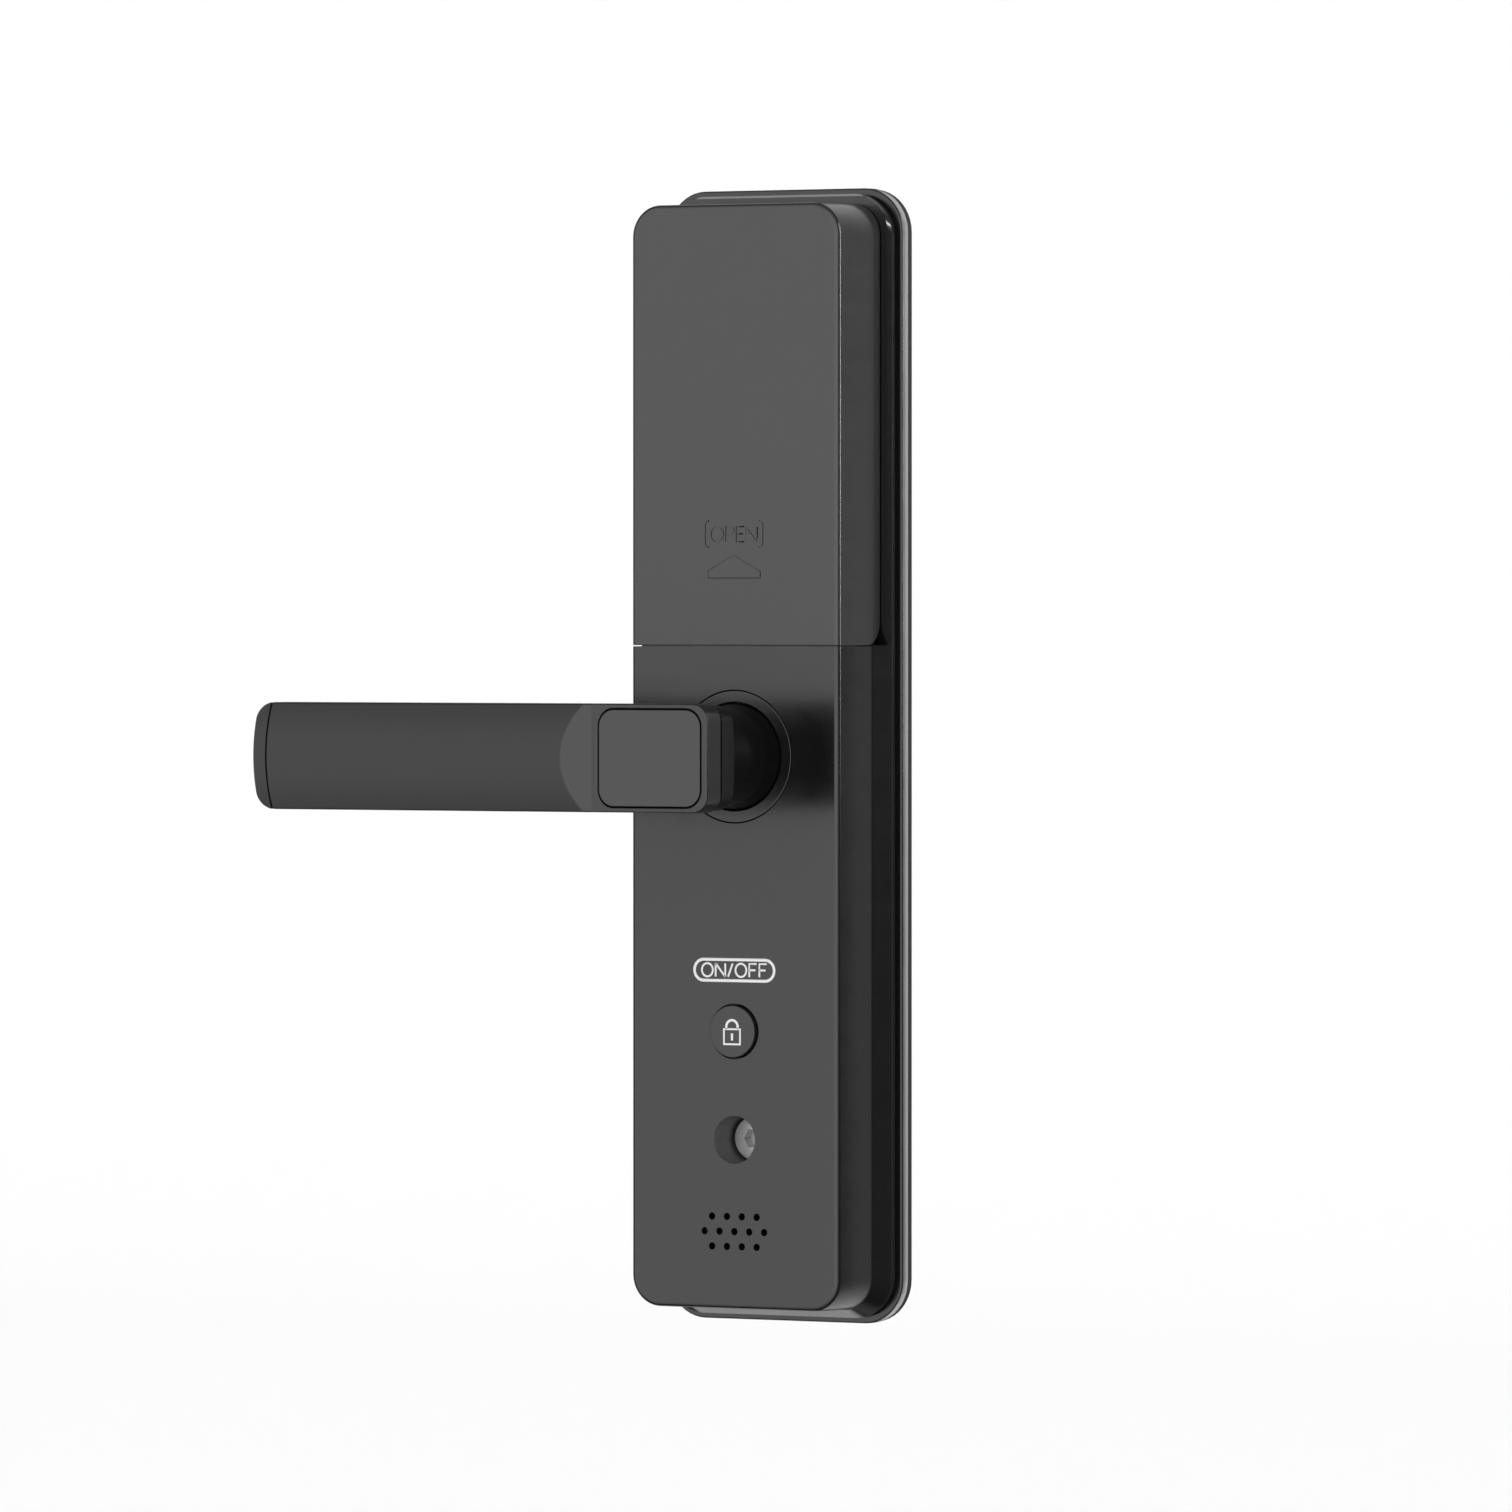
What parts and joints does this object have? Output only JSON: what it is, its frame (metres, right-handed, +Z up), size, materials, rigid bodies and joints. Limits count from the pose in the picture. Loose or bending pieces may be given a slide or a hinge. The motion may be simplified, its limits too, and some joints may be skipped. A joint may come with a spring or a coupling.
{
  "type": "smart door lock indoor unit",
  "caption": "Indoor half of an electronic door lock: tall rounded housing with sliding battery cover, sprung lever handle, lock button, bolt recess and speaker holes.",
  "frame": {"origin": "on the handle's axis, in the plane that lies against the door, midway between the two through-bolts", "axes": "+X to the right as seen from the room, +Y into the door along the spindle, +Z up along the housing"},
  "size_m": [0.1613, 0.1226, 0.3086],
  "materials": {
    "shell": "satin graphite paint",
    "cover": "satin graphite paint on plastic",
    "base": "satin black",
    "plate": "satin dark grey",
    "rubber": "matte black",
    "ring": "satin graphite paint",
    "lever": "satin graphite paint",
    "inlay": "satin graphite, slightly smoother",
    "neck": "satin black",
    "button": "satin graphite",
    "bolt_steel": "bright zinc plate",
    "screw_steel": "zinc plate",
    "spindle_steel": "drawn bar",
    "spring_steel": "oiled spring wire",
    "contact_nickel": "nickel plate",
    "cast_zinc": "as cast",
    "bush_nylon": "natural nylon",
    "tray": "moulded black",
    "cell_jacket": "shrink sleeve",
    "board": "solder resist",
    "chip": "moulded epoxy",
    "socket_nylon": "natural nylon",
    "switch_body": "moulded black",
    "plunger": "moulded amber",
    "speaker": "black steel and cone",
    "foam": "closed-cell foam"
  },
  "bodies": {
    "case": {"door_gasket": "rubber", "mounting_plate": "plate", "body_gasket": "rubber", "base_frame": "base", "front_shell": "shell", "through_bolts": "bolt_steel", "shell_screws": "screw_steel", "board_screws": "screw_steel", "housing_screws": "screw_steel", "battery_tray": "tray", "batteries": "cell_jacket", "contact_springs": "contact_nickel", "contact_plates": "contact_nickel", "control_board": "board", "board_chips": "chip", "cable_socket": "socket_nylon", "tact_switch": "switch_body", "speaker": "speaker", "speaker_gasket": "foam", "rosette_ring": "ring", "spring_housing": "cast_zinc", "bearing_bush": "bush_nylon", "return_spring": "spring_steel", "button_spring": "spring_steel"},
    "handle": {"lever_front": "lever", "lever_back": "lever", "lever_end_cap": "lever", "lever_inlay": "inlay", "hub_screws": "screw_steel", "handle_neck": "neck", "set_screw": "screw_steel", "spindle": "spindle_steel", "drive_hub": "cast_zinc", "thrust_washer": "bush_nylon", "retaining_clip": "spring_steel"},
    "button": {"lock_button": "button", "switch_plunger": "plunger"},
    "cover": {"battery_cover": "cover"}
  },
  "joints": [
    {"name": "handle_turn", "type": "hinge", "parent": "case", "child": "handle", "pos_m": [0, -0.024, 0], "axis": [0, -1, 0], "range_deg": [-45, 45], "stiffness_Nm_per_rad": 1.4, "springref_deg": -5.16, "deforming": ["return_spring"]},
    {"name": "button_press", "type": "slide", "parent": "case", "child": "button", "axis": [0, 1, 0], "range_m": [0, 0.001], "stiffness_N_per_m": 600, "springref_m": -0.002, "deforming": ["button_spring"]},
    {"name": "cover_slide", "type": "slide", "parent": "case", "child": "cover", "axis": [0, 0, 1], "range_m": [0, 0.125]}
  ]
}
